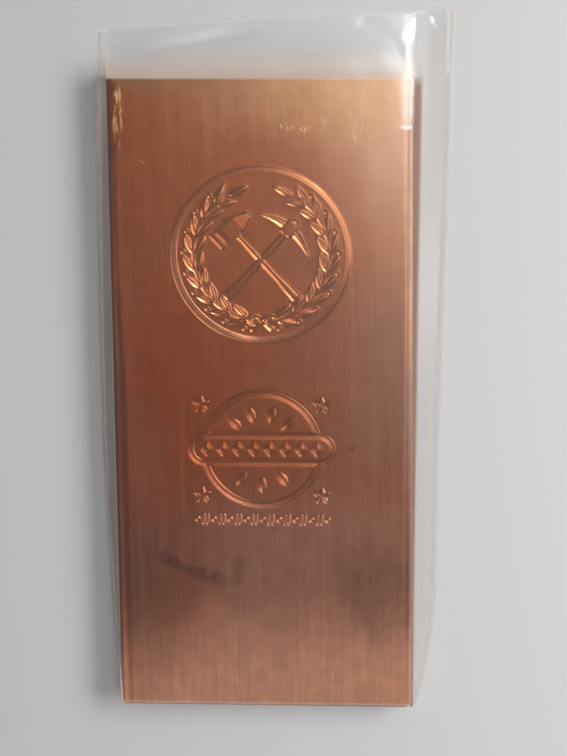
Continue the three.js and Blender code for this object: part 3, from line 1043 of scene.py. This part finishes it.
def makeCopper():
    material = bpy.data.materials.new("struckCopper")
    material.use_nodes = True
    tree = material.node_tree
    surface = tree.nodes["Principled BSDF"]
    coordinates = addNode(tree, "ShaderNodeTexCoord")
    position = coordinates.outputs["Object"]
    across, up, upright = addNode(tree, "ShaderNodeSeparateXYZ", {
        0: coordinates.outputs["Normal"]}).outputs
    x, y = addNode(tree, "ShaderNodeSeparateXYZ", {0: position}).outputs[:2]
    measures = {"x": x, "y": y}
    for name in ("cloud", "streak", "grain", "fineGrain", "mottle"):
        measures[name] = grainNoise(tree, position, name)
    for name, (base, other, share) in copperMeasures.items():
        measures[name] = calc(tree, "ADD", measures[base], times(tree, measures[other], share))
    grain = measures["grain"]

    # masks: the slopes of the relief, the medallion's wall, the right edge's painted highlight, the
    # left edge's painted shade, and the nicks with the left edge's painted glints
    sloping = times(tree, rescale(tree, upright, copperSpans["slope"]),
                    rescale(tree, y, copperSpans["slopeAlong"]))
    outer, inner = (spot(tree, position, medal["place"], (radius, radius), 0, softness)
                    for radius, softness in medalWall)
    wall = calc(tree, "SUBTRACT", outer, inner, clamp=True)
    upward = rescale(tree, calc(tree, "ADD", across, up), copperSpans["wallUp"])
    # painted shade on the left edge, narrowing towards the upper end
    leftEdge = calc(tree, "SUBTRACT", x, rescale(tree, y, copperSpans["leftNarrowing"]))
    leftEdge = rescale(tree, leftEdge, copperSpans["leftEdge"])
    leftEdgeShade = times(tree, leftEdge, rescale(tree, y, copperSpans["leftEnding"]))
    # painted highlight on the right edge, strongest near the upper end
    rightEdgeHighlight = largest(tree, rescale(tree, y, copperSpans["rightUpper"]),
                   rescale(tree, y, copperSpans["rightLower"]))
    rightEdgeHighlight = times(tree, rightEdgeHighlight, rescale(tree, x, copperSpans["rightEdge"]))
    # the nicks, with the painted glints on the left edge
    nicked = makeNicksAndGlints(tree, position)

    tone = layTones(tree, copperTones["red"], copperZones, measures)
    # painted sheen lightens the relief's slopes, and a painted highlight the wall where it faces up
    # the bar
    tone = mixTone(tree, times(tree, sloping, copperFinish["slopeTone"]), tone,
                   copperTones["paintedSlopeSheen"])
    tone = mixTone(tree, times(tree, wall, upward), tone, copperTones["paintedWallHighlight"])
    broken = rescale(tree, grainNoise(tree, position, "smear"), copperSpans["smearBreaks"])
    for place, size, turn, strength in smears:
        mask = times(tree, spot(tree, position, place, size, turn), broken, strength)
        tone = mixTone(tree, mask, tone, copperTones["smudge"])
    # painted shade on the left edge and lower end, painted highlight on the upper end and right
    # edge
    tone = mixTone(tree, leftEdgeShade, tone, copperTones["edge"])
    tone = layTones(tree, tone, copperEnds, measures)
    tone = mixTone(tree, rightEdgeHighlight, tone, copperTones["rubbed"])
    tone = mixTone(tree, times(tree, nicked, copperFinish["nickTone"]), tone,
                   copperTones["nickAndGlint"])
    light = times(tree, rescale(tree, grain, copperSpans["grainLight"], smooth=False),
                  rescale(tree, measures["mottle"], copperSpans["mottleLight"]))
    tone = addNode(tree, "ShaderNodeVectorMath", {0: tone, 1: light}, operation="MULTIPLY")
    tree.links.new(tone.outputs[0], surface.inputs["Base Color"])

    rough = calc(tree, "ADD", copperFinish["roughness"] - copperFinish["grain"] / 2,
                 times(tree, grain, copperFinish["grain"]))
    rough = calc(tree, "ADD", rough, rescale(tree, measures["cloud"], copperSpans["patch"]))
    rough = calc(tree, "SUBTRACT", rough, times(tree, sloping, copperFinish["slope"]))
    # the medallion's wall and the edges are duller than the rest
    dull = times(tree, wall, calc(tree, "SUBTRACT", 1.0, upward))
    dull = largest(tree, dull, rightEdgeHighlight, leftEdge)
    rough = calc(tree, "ADD", rough, times(tree, dull, copperFinish["dull"]))
    tree.links.new(rough, surface.inputs["Roughness"])
    surface.inputs["Metallic"].default_value = 1

    height = calc(tree, "ADD", times(tree, grain, copperFinish["grainHeight"]),
                  times(tree, measures["fineGrain"], copperFinish["fineGrainHeight"]))
    height = calc(tree, "SUBTRACT", height, times(tree, nicked, copperFinish["nickDepth"]))
    relief = addNode(tree, "ShaderNodeBump", {
        "Strength": copperFinish["bump"], "Distance": copperFinish["bumpDepth"],
        "Height": height})
    tree.links.new(relief.outputs["Normal"], surface.inputs["Normal"])
    return material


grainGroup = makeGrainGroup()
ingot = makeIngot()
ingot.data.materials.append(makeCopper())
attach(ingot, "root")
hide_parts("ingot")
print("stage: ingot", len(ingot.data.vertices), "points",
      sum(len(p.vertices) - 2 for p in ingot.data.polygons), "triangles")


# the sleeve: one tube of clear film lying over the bar
sleeve = {
    "thickness": 0.05 * mm,
    "floorGap": 0.10 * mm,         # the under layer's height
    "edgeHeight": 0.45 * mm,       # the folded side edges stand this high
    "over": 0.24 * mm,             # the upper layer's height above the face
    "sealY": -77.6 * mm,
    "sealLength": 1.0 * mm,
    "sealFrom": -76.3 * mm,        # the layers start to close here
    "sealHeight": 0.18 * mm,
    "sinkFrom": 76.4 * mm,         # and the upper one starts to sink past the bar here
    "sinkCurve": 1.3,
    "mouthMiddle": 87.95 * mm,
    "mouthSlope": 0.0588,
    "slopeFrom": 60 * mm,
    "mouthHeight": 3.6 * mm,
    "mouthRise": 1.3 * mm,         # the mouth stands higher at the right
    "mouthRiseReach": 34 * mm,
    "shoulder": 35.15 * mm,        # where the upper layer leaves the bar's sides
    "leastFin": 0.4 * mm,
    "held": 3 * mm,                # creases and ripples fade out this near a folded edge
    "onBar": (34 * mm, 75.6 * mm),
    "overBar": 0.09 * mm,          # the film never lies lower than this over the bar
    "overFloor": 0.16 * mm,
    "softness": 0.55 * mm,
    "bead": 0.22 * mm,             # rolled ridge just inside each folded edge
    "beadPlace": 0.75 * mm,
    "beadWidth": 0.42 * mm,
    "facet": 1.9 * mm,             # narrow bent strip beside the right shoulder
    "facetDrop": 0.20 * mm,
    "facetBlend": 0.3 * mm,
    "topColumns": 168,
    "underColumns": 24,
    "crowding": 0.42,              # how much closer the columns are at the edges
    "rows": 200,
    "weld": 0.004 * mm,
    "smoothAngle": 50.0,
}
# half outline at stations along the bar: how far each folded edge lies from the middle
sleeveEdges = {
    "left": ((-77.5, 35.4), (-50.5, 37.2), (-13.0, 38.4), (23.5, 38.4), (58.5, 38.2),
             (72.5, 37.6), (91.0, 37.8)),
    "right": ((-77.5, 35.6), (-72.3, 37.6), (-65.0, 38.9), (-57.9, 40.0), (-49.7, 40.7),
              (-12.5, 41.3), (23.6, 42.3), (58.6, 43.5), (72.4, 43.8), (91.0, 44.4)),
}
# soft creases, in millimetres: a line of points, its depth and half width, and how far before its
# last point it starts to run out
sleeveCreases = (
    (((-35.5, 84.0), (-30.5, 82.8), (-24.9, 82.1), (-14.6, 83.4), (-7.5, 85.0), (0.8, 86.4)),
     -0.62, 1.2, 6.0),
    (((38.0, 89.6), (39.3, 87.4)), 0.30, 1.0, 0.1),
    (((24.0, 88.4), (30.0, 84.0), (33.0, 79.0)), -0.14, 1.8, 0.1),
    (((37.1, -59.0), (36.5, -72.8)), 0.30, 0.7, 0.1),
)


def alongEdge(side, y):
    # how far the folded edge lies from the middle here
    stations = sleeveEdges[side]
    place = min(max(y / mm, stations[0][0]), stations[-1][0])
    for (lowY, lowX), (highY, highX) in zip(stations, stations[1:]):
        if place <= highY:
            return (lowX + (highX - lowX) * (place - lowY) / (highY - lowY)) * mm


def ease(low, high, value):
    share = min(max((value - low) / (high - low), 0), 1)
    return share * share * (3 - 2 * share)


def softLower(first, second, reach):
    # the lower of two heights, rounded where they cross
    share = max(reach - abs(first - second), 0) / reach
    return min(first, second) - share * share * reach / 4


def creaseLift(x, y):
    lift = 0
    for points, depth, width, runOut in sleeveCreases:
        nearest = math.inf
        for (startX, startY), (endX, endY) in zip(points, points[1:]):
            runX, runY = endX - startX, endY - startY
            share = ((x - startX) * runX + (y - startY) * runY) / (runX ** 2 + runY ** 2)
            share = min(max(share, 0), 1)
            nearest = min(nearest, math.hypot(x - startX - share * runX, y - startY - share * runY))
        fade = ease(0, runOut, math.hypot(x - points[-1][0], y - points[-1][1]))
        lift += depth * fade * math.exp(-(nearest / width) ** 2)
    return lift * mm


def ripple(x, y):
    # shallow waves that run along the bar, in millimetres
    wave = 0.018 * math.sin(x / 3.1 + 0.8 * math.sin(y / 23)) * math.sin(y / 31 + 1.1)
    wave += 0.010 * math.sin(x / 1.7 + y / 60 + 2.0) * math.sin(y / 17 + x / 9)
    wave += 0.030 * math.sin(x / 7.5 - y / 45 + 0.6)
    return wave * mm


def upperHeight(x, y):
    # the upper layer's height: over the bar, down past its upper end, down to the seal at its
    # lower end, and down beside it to the folded edges
    pastEnd = ease(sleeve["sinkFrom"], sleeve["mouthMiddle"], y)
    beforeEnd = ease(sleeve["sealFrom"], sleeve["sealY"] + sleeve["sealLength"], y)
    top = faceZ + sleeve["over"]
    mouth = sleeve["mouthHeight"] + sleeve["mouthRise"] * ease(0, sleeve["mouthRiseReach"], x)
    top -= (faceZ + sleeve["over"] - mouth) * pastEnd ** sleeve["sinkCurve"]
    top = top * (1 - beforeEnd) + sleeve["sealHeight"] * beforeEnd
    shoulder = sleeve["shoulder"]
    fallen = ease(shoulder - sleeve["facet"] - sleeve["facetBlend"], shoulder, x)
    top -= sleeve["facetDrop"] * fallen * (1 - beforeEnd)
    edge = sleeve["edgeHeight"] * (1 - beforeEnd) + sleeve["sealHeight"] * beforeEnd
    height, held, beads = top, 1 - beforeEnd, 0
    for side, sign in (("left", -1), ("right", 1)):
        reach = alongEdge(side, y)
        slope = (top - edge) / max(reach - shoulder, sleeve["leastFin"])
        inward = reach - sign * x
        height = softLower(height, edge + inward * slope, sleeve["softness"])
        held *= ease(0, sleeve["held"], inward)
        beads += math.exp(-((inward - sleeve["beadPlace"]) / sleeve["beadWidth"]) ** 2)
    height += (ripple(x / mm, y / mm) + creaseLift(x / mm, y / mm)) * held
    height += sleeve["bead"] * beads * (1 - beforeEnd)
    halfWidth, halfLength = sleeve["onBar"]
    onBar = abs(x) < halfWidth and abs(y) < halfLength
    return max(height, faceZ + sleeve["overBar"] if onBar else sleeve["overFloor"])


def makeSleeve():
    columns = sleeve["topColumns"] + sleeve["underColumns"]
    clearSelection()
    bpy.ops.mesh.primitive_grid_add(x_subdivisions=columns, y_subdivisions=sleeve["rows"], size=2)
    piece = settle(bpy.context.object, "sleeveFilm")
    turn = sleeve["topColumns"] / columns
    for vertex in piece.data.vertices:
        around, along = (vertex.co.x + 1) / 2, (vertex.co.y + 1) / 2
        middleY = sleeve["sealY"] + (sleeve["mouthMiddle"] - sleeve["sealY"]) * along
        left, right = -alongEdge("left", middleY), alongEdge("right", middleY)
        if around <= turn:
            share = around / turn
            # closer columns towards the folded edges and the shoulders
            share = share - sleeve["crowding"] * math.sin(2 * math.pi * share) / (2 * math.pi)
            x = left + (right - left) * share
        else:
            x = right - (right - left) * (around - turn) / (1 - turn)
        sloped = ease(sleeve["slopeFrom"], sleeve["mouthMiddle"], middleY)
        y = middleY + sleeve["mouthSlope"] * x * sloped
        atEdge = min(x - left, right - x) < hair
        z = upperHeight(x, y) if around <= turn or atEdge else sleeve["floorGap"]
        vertex.co = (x, y, z)
    startEdit(piece)
    selectWhole()
    bpy.ops.mesh.remove_doubles(threshold=sleeve["weld"])
    pick(piece, "EDGE", lambda e: e.is_boundary and e.verts[0].co.y < 0)
    bpy.ops.mesh.edge_face_add()
    selectWhole()
    bpy.ops.mesh.normals_make_consistent(inside=False)
    finishEdit()
    # the tube is open at its mouth, so which side is outwards is told by its highest face
    if max(piece.data.polygons, key=lambda face: face.center.z).normal.z < 0:
        startEdit(piece)
        selectWhole()
        bpy.ops.mesh.flip_normals()
        finishEdit()
    wall = piece.modifiers.new("wall", "SOLIDIFY")
    wall.thickness = sleeve["thickness"]
    wall.offset = -1
    applyModifiers(piece)
    takeUp(piece)
    bpy.ops.object.shade_smooth_by_angle(angle=math.radians(sleeve["smoothAngle"]))
    return piece


filmFinish = {
    "mirror": 0.062,
    "folded": 0.11,                # how much more the doubled fold mirrors
    "shine": 0.14,                 # how rough the shine is
    "milk": 0.35,                  # and the milky parts
    "haze": 0.004,                 # how milky the film is everywhere
    "tone": (0.92, 0.93, 0.93, 1),
    "lean": (0.040, 0.024, 1.0),   # which way the fold faces
    "foldSoftness": 0.90,
    "glintSoftness": 0.95,
    "bump": 0.10,
    "bumpDepth": 0.0001,
}
# the doubled fold at the upper right, and glints: place, half sizes, turn and strength
folds = (((0.0347, 0.0872), (0.0016, 0.0044), -12, 1.00),
         ((0.0337, 0.0850), (0.0026, 0.0028), -20, 1.00),
         ((0.0338, 0.0800), (0.0015, 0.0065), 0, 0.35),
         ((0.0338, 0.0738), (0.0028, 0.0070), 0, 1.00),
         ((0.0338, 0.0692), (0.0027, 0.0070), 0, 0.80),
         ((0.0334, 0.0645), (0.0022, 0.0010), 0, 1.25))
glints = (((0.0391, 0.0884), (0.0013, 0.0028), 20, 0.95),
          ((0.0397, 0.0872), (0.0008, 0.0018), 10, 0.80),
          ((-0.0080, 0.0812), (0.0006, 0.0024), -25, 0.45))
filmSpans = {
    "foldEdge": (0.0356, 0.0353),
    "foldHeight": (0.0015, 0.0025),
    "haze": (0.3, 0.75, 0.4 * filmFinish["haze"], 1.6 * filmFinish["haze"]),
    "reach": (-0.050, 0.076, 0.0355, 0.0368),        # the right strip narrows downwards
    "lineLower": (-0.0775, -0.0260, 0.0347, 0.0375),
    "lineUpper": (0.0200, 0.0750, 0.0, -0.0010),
}
shortLine = 0.0427             # the painted light line on the roll beside the mouth, across the bar
# parts that look milky, and parts where light is painted onto the film: the copper's reflections
# and glow, light lines on the folds, and light that lifts the shade; each is where any of its
# overlaps is
filmParts = (
    {"name": "fin", "tint": (0.62, 0.57, 0.52, 1), "strength": 0.28,
     "overlaps": [[("x", 0.0349, 0.0352), ("z", 0.0002, 0.0004)]]},
    # partly milky film and partly painted light, lifting the shade past the upper end and beside
    # the left edge
    {"name": "flap", "tint": (0.98, 0.94, 0.90, 1), "strength": 0.36,
     "overlaps": [[("y", 0.0758, 0.0764), ("z", 0.00025, 0.00045), ("x", 0.0360, 0.0340),
                   ("x", -0.036, -0.014, 0.60, 1.0)],
                  [("x", -0.0346, -0.0354), ("y", 0.050, 0.082, 0.0, 0.75)]]},
    # painted glow: the copper's warm light on the film past the upper end
    {"name": "end", "tint": (1.00, 0.80, 0.66, 1), "strength": 0.55,
     "overlaps": [[("y", 0.0752, 0.0758), ("y", 0.0835, 0.0765), ("z", 0.00025, 0.00045),
                   ("outward", 0.0372, 0.0335)]]},
    # painted highlight: a light strip on the film over the lower end's edge
    {"name": "foot", "tint": (0.95, 0.80, 0.72, 1), "strength": 0.22,
     "overlaps": [[("y", -0.0749, -0.0752), ("y", -0.0758, -0.0756), ("z", 0.0006, 0.0012)]]},
    # painted reflection and shade: the copper's brown on the film beside the left edge
    {"name": "left", "tint": (0.60, 0.33, 0.18, 1), "strength": 0.24,
     "overlaps": [[("x", -0.0346, -0.0352), ("y", 0.0850, 0.0700), ("z", 0.0003, 0.0006)]]},
    # painted highlights: light lines along the left folded edge and on the roll beside the mouth
    {"name": "line", "tint": (0.85, 0.76, 0.68, 1), "strength": 0.50,
     "overlaps": [[("fromLine", 0.00060, 0.00020), ("z", 0.0003, 0.0005)],
                  [("fromShortLine", 0.00060, 0.00020), ("y", 0.0740, 0.0775),
                   ("z", 0.0003, 0.0005)]]},
    # painted reflection and shade: the copper's dark side seen in the film's right slope
    {"name": "right", "tint": (0.262, 0.125, 0.078, 1), "strength": 0.84,
     "overlaps": [[("x", 0.0347, 0.0350), ("pastReach", 0.0006, -0.0004),
                   ("y", 0.0775, 0.0735), ("z", 0.0006, 0.0012)]]},
)


def strongest(tree, position, marks, softness, folded):
    for *mark, strength in marks:
        part = times(tree, spot(tree, position, *mark, softness), strength)
        folded = largest(tree, part, folded)
    return folded


def makeFolds(tree, position, x, z):
    folded = strongest(tree, position, folds, filmFinish["foldSoftness"], 0.0)
    folded = times(tree, folded, rescale(tree, x, filmSpans["foldEdge"]))
    folded = strongest(tree, position, glints, filmFinish["glintSoftness"], folded)
    return times(tree, folded, rescale(tree, z, filmSpans["foldHeight"]))


def filmMeasures(tree, x, y, z):
    reach = rescale(tree, y, filmSpans["reach"], smooth=False)
    line = calc(tree, "ADD", rescale(tree, y, filmSpans["lineLower"], smooth=False),
                rescale(tree, y, filmSpans["lineUpper"], smooth=False))
    return {
        "x": x, "y": y, "z": z,
        "outward": calc(tree, "ABSOLUTE", x),
        "pastReach": calc(tree, "SUBTRACT", x, reach),
        "fromLine": calc(tree, "ABSOLUTE", calc(tree, "ADD", x, line)),
        "fromShortLine": calc(tree, "ABSOLUTE", calc(tree, "SUBTRACT", x, shortLine)),
    }


def makeFilm():
    # clear through and through: only its outward faces shine or look milky
    material = bpy.data.materials.new("clearFilm")
    material.use_nodes = True
    tree = material.node_tree
    surface = tree.nodes["Principled BSDF"]
    surface.inputs["Roughness"].default_value = filmFinish["milk"]
    position = addNode(tree, "ShaderNodeTexCoord").outputs["Object"]
    x, y, z = addNode(tree, "ShaderNodeSeparateXYZ", {0: position}).outputs
    clear = addNode(tree, "ShaderNodeBsdfTransparent", {"Color": (1, 1, 1, 1)})
    shine = addNode(tree, "ShaderNodeBsdfGlossy", {"Roughness": filmFinish["shine"]})
    backward = addNode(tree, "ShaderNodeNewGeometry").outputs["Backfacing"]
    ray = addNode(tree, "ShaderNodeLightPath").outputs
    shown = times(tree, calc(tree, "SUBTRACT", 1.0, backward),
                  calc(tree, "SUBTRACT", 1.0, ray["Is Shadow Ray"]))

    folded = makeFolds(tree, position, x, z)
    facing = addNode(tree, "ShaderNodeLayerWeight", {"Blend": 0.5}).outputs["Facing"]
    mirror = times(tree, calc(tree, "POWER", facing, 5.0), 1 - filmFinish["mirror"])
    mirror = calc(tree, "ADD", mirror, filmFinish["mirror"])
    mirror = calc(tree, "ADD", mirror, times(tree, folded, filmFinish["folded"]))
    mirror = times(tree, mirror, shown)

    measures = filmMeasures(tree, x, y, z)
    tone = filmFinish["tone"]
    hazy = rescale(tree, grainNoise(tree, position, "haze"), filmSpans["haze"])
    for part in filmParts:
        mask = largest(tree, *(overlap(tree, fades, measures) for fades in part["overlaps"]))
        tone = mixTone(tree, mask, tone, part["tint"])
        hazy = calc(tree, "ADD", hazy,
                    times(tree, mask, calc(tree, "SUBTRACT", part["strength"], hazy)))
    tree.links.new(tone, surface.inputs["Base Color"])
    # what the copper mirrors is the room, not the milky parts beside it
    hazy = times(tree, hazy, shown, calc(tree, "SUBTRACT", 1.0, ray["Is Glossy Ray"]))

    body = addNode(tree, "ShaderNodeMixShader", {
        0: hazy, 1: clear.outputs[0], 2: surface.outputs[0]})
    whole = addNode(tree, "ShaderNodeMixShader", {
        0: mirror, 1: body.outputs[0], 2: shine.outputs[0]})
    tree.links.new(whole.outputs[0], tree.nodes["Material Output"].inputs["Surface"])
    relief = addNode(tree, "ShaderNodeBump", {
        "Strength": filmFinish["bump"], "Distance": filmFinish["bumpDepth"],
        "Height": grainNoise(tree, position, "film")})
    level = addNode(tree, "ShaderNodeMix", {0: folded}, data_type="VECTOR")
    tree.links.new(relief.outputs["Normal"], level.inputs[4])
    level.inputs[5].default_value = filmFinish["lean"]
    straight = addNode(tree, "ShaderNodeVectorMath", {0: level.outputs[1]}, operation="NORMALIZE")
    tree.links.new(straight.outputs[0], shine.inputs["Normal"])
    return material


sleeveFilm = makeSleeve()
sleeveFilm.data.materials.append(makeFilm())
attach(sleeveFilm, "root")
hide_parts("sleeve")
print("stage: sleeve", len(sleeveFilm.data.vertices), "points",
      sum(len(p.vertices) - 2 for p in sleeveFilm.data.polygons), "triangles")

bpy.context.scene.view_settings.view_transform = "Standard"
